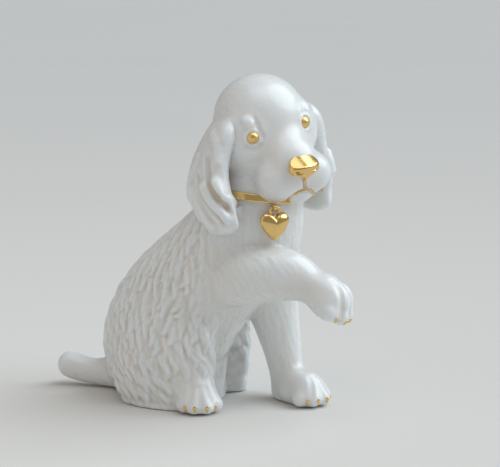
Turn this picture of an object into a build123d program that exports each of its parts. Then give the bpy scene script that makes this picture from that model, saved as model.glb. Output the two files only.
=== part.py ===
from build123d import *

import os
from math import acos, atan2, cos, hypot, radians, sin

# Sitting spaniel puppy in glazed porcelain with one forepaw raised, gilded details, and a heart
# pendant that swings from its collar. Sizes are in millimetres and degrees.
# The body faces -Y, the puppy's left is +X and +Z is up. The origin is on the flat seat.

# Casting: wall of the hollow pieces, slip that sticks the pieces together, vent under the seat
WALL = 2.6
SLIP = 0.4
VENT_RADIUS = 2.5
VENT_Y = 10.0

# Torso, by level oval sections from the seat up to the nape
SEAT_Y = 4.0
SEAT_HALF_WIDTH = 12.5
SEAT_HALF_LENGTH = 16.5
RUMP_RISE = 12.0
RUMP_Y = 6.2
RUMP_HALF_WIDTH = 15.5
RUMP_HALF_LENGTH = 18.2
LOIN_RISE = 15.0
LOIN_Y = 0.2
LOIN_HALF_WIDTH = 15.5
LOIN_HALF_LENGTH = 22.0
CHEST_RISE = 17.0
CHEST_Y = -12.8
CHEST_HALF_WIDTH = 14.5
CHEST_HALF_LENGTH = 21.0
NECK_RISE = 14.0
NECK_Y = -21.0
NECK_HALF_WIDTH = 12.6
NECK_HALF_LENGTH = 14.2
NAPE_RISE = 18.0
NAPE_Y = -24.0
NAPE_HALF_WIDTH = 10.5
NAPE_HALF_LENGTH = 11.5

# Head, in its own frame about the centre of the skull; the face is pitched down in that frame
HEAD_RISE = 3.9
HEAD_BACK = 1.0
HEAD_TURN = 33.0
HEAD_TILT = 10.0
FACE_PITCH = 13.0
SKULL_RADIUS = 13.0
BRIDGE_FORWARD = 9.5
BRIDGE_DROP = 6.0
BRIDGE_RADIUS = 8.4
MUZZLE_FORWARD = 13.8
MUZZLE_DROP = 8.2
MUZZLE_RADIUS = 8.2
FLEW_SPREAD = 4.8
FLEW_FORWARD = 15.0
FLEW_DROP = 11.2
FLEW_RADIUS = 6.2
CHIN_FORWARD = 15.2
CHIN_DROP = 13.6
CHIN_RADIUS = 4.4
CHEEK_SPREAD = 4.8
CHEEK_FORWARD = 3.5
CHEEK_DROP = 6.8
CHEEK_RADIUS = 9.2

# Ears, by level oval sections in the head's frame; flares are measured out from the skull's side
EAR_SET_RISE = 2.4
EAR_SET_FLARE = -0.8
EAR_SET_HALF_THICK = 2.0
EAR_SET_HALF_WIDTH = 4.5
EAR_TOP_DROP = 2.4
EAR_TOP_FLARE = 1.3
EAR_TOP_HALF_THICK = 3.0
EAR_TOP_HALF_WIDTH = 7.6
EAR_LOBE_DROP = 17.0
EAR_LOBE_FLARE = 3.5
EAR_LOBE_BACK = 3.0
EAR_LOBE_HALF_THICK = 3.9
EAR_LOBE_HALF_WIDTH = 11.0
RIGHT_EAR_TIP_DROP = 28.4
RIGHT_EAR_SWING_OUT = 9.0
RIGHT_EAR_SWING_FORWARD = 10.0
LEFT_EAR_TIP_DROP = 29.4
LEFT_EAR_SWING_OUT = 1.0
LEFT_EAR_SWING_FORWARD = 1.0
EAR_TIP_FLARE = 2.1
EAR_TIP_HALF_THICK = 2.2
EAR_TIP_HALF_WIDTH = 7.4

# Paws: a pad with toes fanned round its front, cut flat where it stands
PAW_RADIUS = 5.7
PAW_LENGTH = 3.6
PAW_SINK = 1.6
TOE_COUNT = 4
TOE_STEP = 42.0
TOE_REACH = 4.7
TOE_RADIUS = 2.6
TOE_DROP = 1.4
CLAW_HALF_WIDTH = 0.6
CLAW_HALF_LENGTH = 0.8
CLAW_HALF_HEIGHT = 1.05
CLAW_DROP = 0.5

# Left foreleg, standing
FORELEG_X = 9.2
FORELEG_Y = -24.0
FORELEG_HALF_WIDTH = 5.6
FORELEG_HALF_LENGTH = 7.2
FORELEG_TOP_HALF_LENGTH = 7.6
ANKLE_FORWARD = 3.6
ANKLE_HALF_WIDTH = 4.6
ANKLE_HALF_LENGTH = 4.9
FORELEG_PAW_REACH = 4.6
FORELEG_PAW_TURN = -24.0

# Right foreleg, raised
RAISED_DROP = 5.6
RAISED_ROOT_X = -5.0
RAISED_ROOT_Y = -13.0
RAISED_ROOT_HALF_WIDTH = 7.0
RAISED_ROOT_HALF_HEIGHT = 8.6
RAISED_ELBOW_X = -11.4
RAISED_ELBOW_Y = -27.0
RAISED_ELBOW_HALF_WIDTH = 6.8
RAISED_ELBOW_HALF_HEIGHT = 7.8
RAISED_WRIST_X = -8.0
RAISED_WRIST_Y = -40.8
RAISED_WRIST_HALF_WIDTH = 5.8
RAISED_WRIST_HALF_HEIGHT = 6.2
RAISED_PAW_REACH = 4.4
RAISED_PAW_DROP = 3.2
RAISED_PAW_PITCH = 35.0

# Hind legs, folded, with the paws splayed out
HAUNCH_SPREAD = 12.4
HAUNCH_Y = -0.5
HAUNCH_HALF_WIDTH = 6.4
HAUNCH_HALF_LENGTH = 13.0
THIGH_HEIGHT = 13.0
THIGH_SPREAD = 12.0
THIGH_Y = 0.5
THIGH_HALF_WIDTH = 7.4
THIGH_HALF_LENGTH = 15.4
KNEE_RISE = 10.0
KNEE_SPREAD = 11.2
KNEE_Y = -1.0
KNEE_HALF_WIDTH = 6.8
KNEE_HALF_LENGTH = 13.2
HIP_RISE = 12.0
HIP_SPREAD = 6.0
HIP_Y = 2.0
HIP_HALF_WIDTH = 4.5
HIP_HALF_LENGTH = 9.0
HIND_PAW_SPREAD = 11.6
HIND_PAW_Y = -9.6
HIND_PAW_TURN = 58.0
LEFT_HIND_PAW_TURN = 84.0
LEFT_HIND_PAW_BACK = 6.0

# Tail, lying behind the seat with its tip lifted
TAIL_INSET = 4.5
TAIL_LENGTH = 25.0
TAIL_ROOT_RADIUS = 5.6
TAIL_RADIUS = 4.2
TAIL_BEND = 2.2
TAIL_LIFT = 1.6

# Collar, over the joint between torso and head
COLLAR_RISE = 2.8
COLLAR_TILT = 13.0
COLLAR_WIDTH = 2.8
COLLAR_THICK = 0.9
EAR_CLEARANCE = 0.1

# Pendant: a wire ring that turns in a lug on the collar, and a puffed heart on the ring
PENDANT_TURN = 42.0
LUG_RADIUS = 0.85
LUG_LENGTH = 1.2
LUG_STANDOFF = 0.35
LUG_LOW = 0.9
RING_WIRE_RADIUS = 0.4
RING_CLEARANCE = 0.08
RING_HALF_WIDTH = 1.3
RING_DROP = 2.3
RING_TOP_BEND = 0.5
RING_BOTTOM_BEND = 1.1
HEART_LOBE_SPREAD = 2.1
HEART_LOBE_RADIUS = 2.2
HEART_TIP_DROP = 5.6
HEART_HALF_THICK = 1.2
HEART_RIM_HALF_THICK = 0.5
HEART_FACE_SHARE = 0.5
HEART_SEAT = 1.1

# Gilding on the face
EYE_TURN = 41.0
EYE_RISE = 0.5
EYE_RADIUS = 1.7
EYE_BULGE = 1.0
NOSE_RISE = 18.0
NOSE_HALF_WIDTH = 4.2
NOSE_HALF_LENGTH = 2.4
NOSE_HALF_HEIGHT = 2.8
LIP_WIDTH = 0.7
LIP_THICK = 0.25
LIP_DROP = 7.0
LIP_REACH = 7.5
LIP_SLOPE = 28.0

# Larger than the whole figure, for planes that cut it
BIG = 400.0

# Levels worked out from the rises
RUMP_Z = RUMP_RISE
LOIN_Z = RUMP_Z + LOIN_RISE
CHEST_Z = LOIN_Z + CHEST_RISE
NECK_Z = CHEST_Z + NECK_RISE
NAPE_Z = NECK_Z + NAPE_RISE
HEAD = Pos(0, NAPE_Y + HEAD_BACK, NAPE_Z + HEAD_RISE) * Rot(0, 0, -HEAD_TURN) * Rot(0, -HEAD_TILT, 0)
FACE = HEAD * Rot(FACE_PITCH, 0, 0)
NECK = Pos(0, NECK_Y, NECK_Z + COLLAR_RISE) * Rot(COLLAR_TILT, 0, 0)


def oval(x, y, z, half_width, half_length):
    """A level oval face, longer fore and aft than across."""
    return Pos(x, y, z) * Ellipse(half_width, half_length)


def egg(half_width, half_length, half_height):
    """An ellipsoid about the origin, with its poles fore and aft."""
    return scale(Rot(90, 0, 0) * Sphere(1), by=(half_width, half_length, half_height))


def above(place):
    """Everything on the upper side of a place's own XY plane."""
    return place * Pos(0, 0, BIG / 2) * Box(BIG, BIG, BIG)


def outermost(shape, place, direction):
    """The last point where a ray from a place's origin leaves a shape, with the outward normal."""
    start = place.position
    along = (place * Pos(*direction)).position - start
    hits = shape.find_intersection_points(Axis(start, along))
    return max(hits, key=lambda hit: (hit[0] - start).dot(along))


def torso(grow):
    """The torso and neck, with every section larger all round by grow."""
    sections = (
        (0, SEAT_Y, SEAT_HALF_WIDTH, SEAT_HALF_LENGTH),
        (RUMP_Z, RUMP_Y, RUMP_HALF_WIDTH, RUMP_HALF_LENGTH),
        (LOIN_Z, LOIN_Y, LOIN_HALF_WIDTH, LOIN_HALF_LENGTH),
        (CHEST_Z, CHEST_Y, CHEST_HALF_WIDTH, CHEST_HALF_LENGTH),
        (NECK_Z, NECK_Y, NECK_HALF_WIDTH, NECK_HALF_LENGTH),
        (NAPE_Z, NAPE_Y, NAPE_HALF_WIDTH, NAPE_HALF_LENGTH),
    )
    return loft([oval(0, y, z, width + grow, length + grow) for z, y, width, length in sections])


def head_mass(grow):
    """The skull with its bridge, muzzle, flews, chin and cheeks, each larger all round by grow."""
    lumps = [
        Pos(0, -BRIDGE_FORWARD, -BRIDGE_DROP) * Sphere(BRIDGE_RADIUS + grow),
        Pos(0, -MUZZLE_FORWARD, -MUZZLE_DROP) * Sphere(MUZZLE_RADIUS + grow),
        Pos(0, -CHIN_FORWARD, -CHIN_DROP) * Sphere(CHIN_RADIUS + grow),
    ]
    for side in (-1, 1):
        lumps.append(Pos(side * FLEW_SPREAD, -FLEW_FORWARD, -FLEW_DROP) * Sphere(FLEW_RADIUS + grow))
        lumps.append(Pos(side * CHEEK_SPREAD, -CHEEK_FORWARD, -CHEEK_DROP) * Sphere(CHEEK_RADIUS + grow))
    return FACE * (Sphere(SKULL_RADIUS + grow) + lumps)


def head_cavity():
    """The hollow of the skull and muzzle."""
    bridge = Pos(0, -BRIDGE_FORWARD, -BRIDGE_DROP) * Sphere(BRIDGE_RADIUS - WALL)
    muzzle = Pos(0, -MUZZLE_FORWARD, -MUZZLE_DROP) * Sphere(MUZZLE_RADIUS - WALL)
    return FACE * (Sphere(SKULL_RADIUS - WALL) + [bridge, muzzle])


def ear(side, tip_drop, swing_out, swing_forward):
    """A hanging ear, before it is fitted to the head."""
    sections = (
        (EAR_SET_RISE, EAR_SET_FLARE, 0, EAR_SET_HALF_THICK, EAR_SET_HALF_WIDTH),
        (-EAR_TOP_DROP, EAR_TOP_FLARE, 0, EAR_TOP_HALF_THICK, EAR_TOP_HALF_WIDTH),
        (-EAR_LOBE_DROP, EAR_LOBE_FLARE, EAR_LOBE_BACK, EAR_LOBE_HALF_THICK, EAR_LOBE_HALF_WIDTH),
        (-tip_drop, EAR_TIP_FLARE, 0, EAR_TIP_HALF_THICK, EAR_TIP_HALF_WIDTH),
    )
    faces = []
    for z, flare, back, thick, width in sections:
        faces.append(oval(side * (SKULL_RADIUS + flare), back, z, thick, width))
    set_on = Pos(side * (SKULL_RADIUS + EAR_SET_FLARE), 0, EAR_SET_RISE)
    hang = set_on * Rot(-swing_forward, -side * swing_out, 0) * set_on.inverse()
    return HEAD * hang * loft(faces)


def paw(place):
    """A paw that points along the place's -Y, as its solid and its claws."""
    pad = Rot(90, 0, 0) * Sphere(PAW_RADIUS)
    lumps = [Pos(0, -PAW_LENGTH, 0) * pad]
    claws = []
    claw_egg = egg(CLAW_HALF_WIDTH, CLAW_HALF_LENGTH, CLAW_HALF_HEIGHT)
    for number in range(TOE_COUNT):
        angle = radians((number - (TOE_COUNT - 1) / 2) * TOE_STEP)
        toe = Pos(TOE_REACH * sin(angle), -PAW_LENGTH - TOE_REACH * cos(angle), -TOE_DROP)
        lumps.append(toe * Sphere(TOE_RADIUS))
        claws.append(toe * Pos(0, -TOE_RADIUS, -CLAW_DROP) * claw_egg)
    return place * (pad + lumps), [place * claw for claw in claws]


def standing_place(x, y, turn):
    """Where a paw stands flat on the ground, turned to the puppy's left by turn."""
    return Pos(x, y, PAW_RADIUS - PAW_SINK) * Rot(0, 0, turn)


def left_foreleg():
    """The standing leg from inside the chest down to the ground, and its claws."""
    ankle_y = FORELEG_Y - ANKLE_FORWARD
    leg = loft(
        [
            oval(FORELEG_X, ankle_y, 0, ANKLE_HALF_WIDTH, ANKLE_HALF_LENGTH),
            oval(FORELEG_X, ankle_y, PAW_RADIUS, ANKLE_HALF_WIDTH, ANKLE_HALF_LENGTH),
            oval(FORELEG_X, FORELEG_Y, CHEST_Z / 2, FORELEG_HALF_WIDTH, FORELEG_HALF_LENGTH),
            oval(FORELEG_X, FORELEG_Y, CHEST_Z, FORELEG_HALF_WIDTH, FORELEG_TOP_HALF_LENGTH),
        ]
    )
    heel = Pos(FORELEG_X, ankle_y, 0) * Rot(0, 0, FORELEG_PAW_TURN) * Pos(0, -FORELEG_PAW_REACH, 0)
    spot = heel.position
    pad, claws = paw(standing_place(spot.X, spot.Y, FORELEG_PAW_TURN))
    return leg + pad, claws


def right_foreleg():
    """The raised leg from inside the chest forward to its hanging paw, and its claws."""
    level = CHEST_Z - RAISED_DROP
    paw_y = RAISED_WRIST_Y - RAISED_PAW_REACH
    paw_z = level - RAISED_PAW_DROP
    sections = (
        (RAISED_ROOT_X, RAISED_ROOT_Y, level, RAISED_ROOT_HALF_WIDTH, RAISED_ROOT_HALF_HEIGHT),
        (RAISED_ELBOW_X, RAISED_ELBOW_Y, level, RAISED_ELBOW_HALF_WIDTH, RAISED_ELBOW_HALF_HEIGHT),
        (RAISED_WRIST_X, RAISED_WRIST_Y, level, RAISED_WRIST_HALF_WIDTH, RAISED_WRIST_HALF_HEIGHT),
        (RAISED_WRIST_X, paw_y, paw_z, PAW_RADIUS - PAW_SINK, PAW_RADIUS - PAW_SINK),
    )
    upright = Rot(90, 0, 0)
    leg = loft([Pos(x, y, z) * upright * Ellipse(width, height) for x, y, z, width, height in sections])
    pad, claws = paw(Pos(RAISED_WRIST_X, paw_y, paw_z) * Rot(RAISED_PAW_PITCH, 0, 0))
    return leg + pad, claws


def hind_leg(side, paw_y, paw_turn):
    """A folded hind leg from the ground up to inside the hip, with its splayed paw, and its claws."""
    sections = (
        (0, HAUNCH_SPREAD, HAUNCH_Y, HAUNCH_HALF_WIDTH, HAUNCH_HALF_LENGTH),
        (THIGH_HEIGHT, THIGH_SPREAD, THIGH_Y, THIGH_HALF_WIDTH, THIGH_HALF_LENGTH),
        (THIGH_HEIGHT + KNEE_RISE, KNEE_SPREAD, KNEE_Y, KNEE_HALF_WIDTH, KNEE_HALF_LENGTH),
        (THIGH_HEIGHT + KNEE_RISE + HIP_RISE, HIP_SPREAD, HIP_Y, HIP_HALF_WIDTH, HIP_HALF_LENGTH),
    )
    leg = loft([oval(side * spread, y, z, width, length) for z, spread, y, width, length in sections])
    pad, claws = paw(standing_place(side * HIND_PAW_SPREAD, paw_y, side * paw_turn))
    return leg + pad, claws


def tail():
    """The tail from inside the rump to its rounded tip."""
    root_y = SEAT_Y + SEAT_HALF_LENGTH - TAIL_INSET
    path = Spline(
        (0, root_y, TAIL_ROOT_RADIUS),
        (-TAIL_BEND / 2, root_y + TAIL_LENGTH / 2, TAIL_RADIUS),
        (-TAIL_BEND, root_y + TAIL_LENGTH - TAIL_RADIUS, TAIL_RADIUS + TAIL_LIFT),
    )
    rings = []
    for share, radius in ((0, TAIL_ROOT_RADIUS), (0.5, TAIL_RADIUS), (1, TAIL_RADIUS)):
        rings.append(Plane(path @ share, x_dir=(1, 0, 0), z_dir=path % share) * Circle(radius))
    return loft(rings) + Pos(*(path @ 1)) * Sphere(TAIL_RADIUS)


def pendant_place(band):
    """The axis that the pendant swings on: X along the pin and -Y out from the collar."""
    turn = radians(PENDANT_TURN)
    spot, _ = outermost(band, NECK * Pos(0, 0, -LUG_LOW), (-sin(turn), -cos(turn), 0))
    return Pos(*spot) * Rot(0, 0, -PENDANT_TURN) * Pos(0, -LUG_STANDOFF - LUG_RADIUS, 0)


def collar_lug(place, band):
    """A short tube for the ring's pin, on a web that stands on the collar."""
    across = Rot(0, 90, 0)
    depth = LUG_STANDOFF + LUG_RADIUS + COLLAR_THICK
    tube = across * Cylinder(LUG_RADIUS, LUG_LENGTH)
    web = Pos(0, depth / 2, 0) * Box(LUG_LENGTH, depth, 2 * LUG_RADIUS)
    bore = across * Cylinder(RING_WIRE_RADIUS + RING_CLEARANCE, 2 * LUG_LENGTH)
    return place * (tube + web - bore) - band


def pendant_ring(place):
    """A wire loop with a straight pin at its top and wide bends at its bottom."""
    corners = (
        (-RING_HALF_WIDTH, 0, 0),
        (RING_HALF_WIDTH, 0, 0),
        (RING_HALF_WIDTH, 0, -RING_DROP),
        (-RING_HALF_WIDTH, 0, -RING_DROP),
    )
    bends = (RING_TOP_BEND, RING_TOP_BEND, RING_BOTTOM_BEND, RING_BOTTOM_BEND)
    path = FilletPolyline(*corners, radius=bends, close=True)
    wire = Plane(path @ 0, z_dir=path % 0) * Circle(RING_WIRE_RADIUS)
    return place * sweep(wire, path)


def heart_face(share):
    """A flat heart at a share of its size, with its lobes' centres level with the origin."""
    lobes = [Pos(side * HEART_LOBE_SPREAD, 0) * Circle(HEART_LOBE_RADIUS) for side in (-1, 1)]
    slant = hypot(HEART_LOBE_SPREAD, HEART_TIP_DROP)
    turn = atan2(-HEART_TIP_DROP, -HEART_LOBE_SPREAD) + acos(HEART_LOBE_RADIUS / slant)
    side_x = HEART_LOBE_SPREAD + HEART_LOBE_RADIUS * cos(turn)
    side_y = HEART_LOBE_RADIUS * sin(turn)
    half = [(HEART_LOBE_SPREAD, 0), (side_x, side_y), (0, -HEART_TIP_DROP)]
    other_half = [(-x, y) for x, y in reversed(half[:2])]
    point = make_face(Polyline(*half, *other_half, close=True))
    return scale(point + lobes, by=share)


def heart_pendant(place):
    """A puffed heart whose notch sits on the bottom of the ring."""
    layers = (
        (-HEART_HALF_THICK, HEART_FACE_SHARE),
        (-HEART_RIM_HALF_THICK, 1),
        (HEART_RIM_HALF_THICK, 1),
        (HEART_HALF_THICK, HEART_FACE_SHARE),
    )
    upright = Rot(90, 0, 0)
    heart = loft([upright * Pos(0, 0, depth) * heart_face(share) for depth, share in layers], ruled=True)
    return place * Pos(0, 0, -RING_DROP - HEART_SEAT) * heart


def eye(side, head):
    """A domed eye set on the skull."""
    turn = radians(EYE_TURN)
    rise = radians(EYE_RISE)
    aim = (side * sin(turn) * cos(rise), -cos(turn) * cos(rise), sin(rise))
    spot, normal = outermost(head, FACE, aim)
    return Plane(spot, z_dir=normal) * Pos(0, 0, EYE_BULGE - EYE_RADIUS) * Sphere(EYE_RADIUS) - head


def nose_place(head):
    """The middle of the nose on the front of the muzzle, facing as the face does."""
    rise = radians(NOSE_RISE)
    muzzle = FACE * Pos(0, -MUZZLE_FORWARD, -MUZZLE_DROP)
    spot, _ = outermost(head, muzzle, (0, -cos(rise), sin(rise)))
    return FACE * Pos(*(FACE.inverse() * Pos(*spot)).position)


def nose_gilding(spot, head):
    """The nose, wide above and narrowing to the lip."""
    wide = egg(NOSE_HALF_WIDTH, NOSE_HALF_LENGTH, NOSE_HALF_HEIGHT)
    narrow = Pos(0, 0, -NOSE_HALF_HEIGHT) * egg(NOSE_HALF_WIDTH / 2, NOSE_HALF_LENGTH / 2, NOSE_HALF_HEIGHT)
    return spot * (wide + narrow) - head


def lip_line(spot, nose, head):
    """The groove under the nose and the mouth line, as a film on the muzzle."""
    film = head_mass(LIP_THICK) - head
    groove = Pos(0, 0, -LIP_DROP / 2) * Box(LIP_WIDTH, MUZZLE_RADIUS, LIP_DROP)
    lines = [groove]
    for side in (-1, 1):
        bar = Pos(side * LIP_REACH / 2, 0, 0) * Box(LIP_REACH, MUZZLE_RADIUS, LIP_WIDTH)
        lines.append(Pos(0, 0, -LIP_DROP) * Rot(0, side * LIP_SLOPE, 0) * bar)
    return (film & spot * (lines[0] + lines[1:])) - nose


def build():
    """Every piece of the figure by name, fitted to the pieces that carry it."""
    ground = above(Pos(0, 0, 0))
    body = torso(0)
    body_slip = torso(SLIP)
    band = torso(COLLAR_THICK)
    hollow = torso(-WALL) & above(Pos(0, 0, WALL))
    vent = Pos(0, VENT_Y, 0) * Cylinder(VENT_RADIUS, 4 * WALL)
    over_neck = above(NECK)
    over_slip = above(NECK * Pos(0, 0, SLIP))
    head = head_mass(0) + (body & over_neck)

    pieces = {}
    pieces["torso_shell"] = body - over_neck - hollow - vent
    pieces["head_shell"] = (head & over_slip) - head_cavity() - hollow
    slips = [(body & over_neck) - over_slip - hollow]

    head_slip = head_mass(SLIP)
    ear_room = torso(COLLAR_THICK + EAR_CLEARANCE)
    ears = {
        "right_ear": ear(-1, RIGHT_EAR_TIP_DROP, RIGHT_EAR_SWING_OUT, RIGHT_EAR_SWING_FORWARD),
        "left_ear": ear(1, LEFT_EAR_TIP_DROP, LEFT_EAR_SWING_OUT, LEFT_EAR_SWING_FORWARD),
    }
    for name, hanging in ears.items():
        whole = hanging - ear_room
        pieces[name] = whole - head_slip
        slips.append((whole & head_slip) - head)

    limbs = {"left_fore": left_foreleg(), "right_fore": right_foreleg()}
    limbs["right_hind"] = hind_leg(-1, HIND_PAW_Y, HIND_PAW_TURN)
    limbs["left_hind"] = hind_leg(1, HIND_PAW_Y + LEFT_HIND_PAW_BACK, LEFT_HIND_PAW_TURN)
    limbs["tail"] = (tail(), [])
    for name, (whole, claws) in limbs.items():
        whole = whole & ground
        fitted = whole - body_slip
        slips.append((whole & body_slip) - body)
        if claws:
            pieces[name + "_leg"] = fitted
            pieces[name + "_claws"] = Compound(children=[claw - fitted for claw in claws])
        else:
            pieces[name] = fitted
    pieces["luting_slip"] = Compound(children=slips)

    slab = above(NECK * Pos(0, 0, -COLLAR_WIDTH / 2)) - above(NECK * Pos(0, 0, COLLAR_WIDTH / 2))
    pieces["collar"] = (band & slab) - body - head
    place = pendant_place(band)
    ring = pendant_ring(place)
    pieces["collar_lug"] = collar_lug(place, band)
    pieces["pendant_ring"] = ring
    pieces["heart_pendant"] = heart_pendant(place) - ring

    pieces["right_eye"] = eye(-1, head)
    pieces["left_eye"] = eye(1, head)
    spot = nose_place(head)
    nose = nose_gilding(spot, head)
    pieces["nose_gilding"] = nose
    pieces["lip_line"] = lip_line(spot, nose, head)
    return pieces


os.makedirs("parts", exist_ok=True)
for name, piece in build().items():
    export_step(piece, f"parts/{name}.step")
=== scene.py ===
import math

import bpy
import numpy as np
from mathutils import Matrix, Vector
from mathutils.bvhtree import BVHTree


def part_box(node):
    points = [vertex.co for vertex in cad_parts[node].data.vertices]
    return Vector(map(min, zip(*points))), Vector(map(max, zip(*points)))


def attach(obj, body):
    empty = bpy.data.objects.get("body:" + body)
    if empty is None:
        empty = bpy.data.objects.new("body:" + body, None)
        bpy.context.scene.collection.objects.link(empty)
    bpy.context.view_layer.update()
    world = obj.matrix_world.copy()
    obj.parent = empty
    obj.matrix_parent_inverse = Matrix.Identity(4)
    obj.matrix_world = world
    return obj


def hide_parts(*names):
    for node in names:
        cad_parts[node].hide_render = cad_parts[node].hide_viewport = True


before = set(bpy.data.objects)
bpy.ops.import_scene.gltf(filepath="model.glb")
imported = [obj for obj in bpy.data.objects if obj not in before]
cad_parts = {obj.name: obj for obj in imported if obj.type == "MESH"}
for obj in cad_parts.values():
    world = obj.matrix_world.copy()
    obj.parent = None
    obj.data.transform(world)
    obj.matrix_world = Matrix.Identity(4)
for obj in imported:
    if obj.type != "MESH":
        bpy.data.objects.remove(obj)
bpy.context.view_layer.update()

# Sitting spaniel puppy in glazed porcelain with gilding. Sizes are in millimetres unless a name says
# otherwise, and meshes are written in metres. The puppy faces -Y, its left is +X, and the seat is at Z = 0.
MM = 0.001

# The photograph's camera, for a picture of 500 by 467 pixels
PICTURE_WIDTH, PICTURE_HEIGHT = 500, 467
VIEW_AZIMUTH, VIEW_ELEVATION = math.radians(-64.0), math.radians(9.0)
VIEW_TARGET = Vector((0.0, -8.0, 45.0))
VIEW_DISTANCE = 480.0
FOCAL_PIXELS = 1708.8
AXIS_PIXEL = (210.5, 242.1)
SENSOR_WIDTH_MM = 36.0
VIEW_BACK = Vector((math.sin(VIEW_AZIMUTH) * math.cos(VIEW_ELEVATION),
                    -math.cos(VIEW_AZIMUTH) * math.cos(VIEW_ELEVATION), math.sin(VIEW_ELEVATION)))
VIEW_RIGHT = Vector((math.cos(VIEW_AZIMUTH), math.sin(VIEW_AZIMUTH), 0.0))
VIEW_UP = VIEW_BACK.cross(VIEW_RIGHT)
VIEW_EYE = VIEW_TARGET + VIEW_BACK * VIEW_DISTANCE

# The face's own frame about the middle of the skull: +X its left, -Y forward, +Z up
FACE = (Matrix.Translation((0.0, -23.0, 79.9)) @ Matrix.Rotation(math.radians(-33.0), 4, "Z")
        @ Matrix.Rotation(math.radians(-10.0), 4, "Y") @ Matrix.Rotation(math.radians(13.0), 4, "X"))
FACE_INVERSE = FACE.inverted()

# The cast porcelain nodes, in the order that their pieces are made
CAST_NODES = ("torso_shell", "head_shell", "right_ear", "left_ear", "left_fore_leg", "right_fore_leg",
              "right_hind_leg", "left_hind_leg", "tail")
CLAY_GRAIN = 0.32
VENT_Y, VENT_PLUG_Z, VENT_PLUG_RADIUS, VENT_PLUG_DEPTH = 10.0, 3.4, 3.4, 1.0


def deselect():
    """Leaves nothing selected, so that an operator acts on new pieces alone."""
    if bpy.context.mode != "OBJECT":
        bpy.ops.object.mode_set(mode="OBJECT")
    bpy.ops.object.select_all(action="DESELECT")


def smoothstep(low, high, value):
    """0 below low, 1 above high, and a smooth rise between."""
    share = np.clip((value - low) / (high - low), 0.0, 1.0)
    return share * share * (3.0 - 2.0 * share)


def moved(matrix, points):
    """Points (n by 3) through a 4 by 4 matrix."""
    table = np.array(matrix)
    return points @ table[:3, :3].T + table[:3, 3]


class Cells:
    """Points sorted into cubes, to find those near a place quickly."""

    def __init__(self, points, size):
        self.size = size
        keys = np.floor(points / size).astype(int)
        order = np.lexsort(keys.T)
        ordered = keys[order]
        starts = np.nonzero(np.any(np.diff(ordered, axis=0) != 0, axis=1))[0] + 1
        bounds = np.concatenate(([0], starts, [len(order)]))
        self.cells = {tuple(ordered[a]): order[a:b] for a, b in zip(bounds[:-1], bounds[1:])}

    def near(self, place, reach):
        low = np.floor((place - reach) / self.size).astype(int)
        high = np.floor((place + reach) / self.size).astype(int)
        found = [self.cells[key] for x in range(low[0], high[0] + 1) for y in range(low[1], high[1] + 1)
                 for z in range(low[2], high[2] + 1) if (key := (x, y, z)) in self.cells]
        return np.concatenate(found) if found else np.zeros(0, int)


class Clay:
    """A body as one skin of small quads that is worked like clay, before it is cut into pieces."""

    def __init__(self, points, quads, grounded=False):
        self.points, self.quads, self.grounded = points, quads, grounded
        self.start, self.end = quads.ravel(), np.roll(quads, -1, axis=1).ravel()
        self.degree = np.bincount(self.start, minlength=len(points))

    def around(self, values):
        """The mean of each point's neighbours."""
        columns = [np.bincount(self.start, values[self.end, k], len(values)) for k in range(values.shape[1])]
        return np.stack(columns, axis=1) / self.degree[:, None]

    def spread(self, share, rounds):
        """A share at each point, faded out over its surroundings."""
        for _ in range(rounds):
            share = self.around(share[:, None])[:, 0]
        return share

    def soften(self, weight, rounds):
        """Smooths each point towards its neighbours by a weight from 0 to 1."""
        for _ in range(rounds):
            self.points += weight[:, None] * (self.around(self.points) - self.points)
        self.stand()

    def stand(self):
        """Keeps the figure on the ground."""
        if self.grounded:
            self.points[:, 2] = np.maximum(self.points[:, 2], 0.0)

    def normals(self):
        corners = self.points[self.quads]
        face = np.cross(corners[:, 2] - corners[:, 0], corners[:, 3] - corners[:, 1])
        total = np.stack([sum(np.bincount(self.quads[:, c], face[:, k], len(self.points)) for c in range(4))
                          for k in range(3)], axis=1)
        return total / np.maximum(np.linalg.norm(total, axis=1), 1e-12)[:, None]

    def skin(self):
        return BVHTree.FromPolygons(self.points.tolist(), self.quads.tolist())

    def raise_by(self, height):
        """Moves the skin out along its normals by a height at each point."""
        self.points += self.normals() * height[:, None]
        self.stand()

    def line(self, path, half_width, height, ends=0.25):
        """A ridge along a path on the skin, or a groove where height is below 0. Its ends fade by a share."""
        path = np.asarray(path, float)
        steps = np.linalg.norm(np.diff(path, axis=0), axis=1)
        along = np.concatenate(([0.0], np.cumsum(steps)))
        near = np.nonzero(np.all((self.points > path.min(0) - half_width)
                                 & (self.points < path.max(0) + half_width), axis=1))[0]
        spots, ways = self.points[near], self.normals()[near]
        best, share, facing = np.full(len(near), 1e9), np.zeros(len(near)), np.zeros(len(near))
        for k in range(len(path) - 1):
            run = path[k + 1] - path[k]
            t = np.clip(((spots - path[k]) @ run) / (run @ run), 0.0, 1.0)
            away = np.linalg.norm(spots - path[k] - t[:, None] * run, axis=1)
            closer = away < best
            best[closer] = away[closer]
            facing[closer] = ways[closer] @ ways[np.argmin(((spots - path[k]) ** 2).sum(axis=1))]
            share[closer] = (along[k] + t[closer] * steps[k]) / along[-1]
        profile = np.clip(1.0 - (best / half_width) ** 2, 0.0, 1.0) ** 2 * smoothstep(-0.1, 0.4, facing)
        if ends > 0:
            profile *= smoothstep(0.0, ends, share) * smoothstep(0.0, ends, 1.0 - share)
        self.points[near] += ways * (height * profile)[:, None]
        self.stand()

    def swell(self, place, reach, height):
        """A soft round swelling, or a dent where height is negative."""
        away = np.linalg.norm(self.points - np.asarray(place), axis=1) / reach
        self.raise_by(height * np.clip(1.0 - away ** 2, 0.0, 1.0) ** 2)


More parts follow.
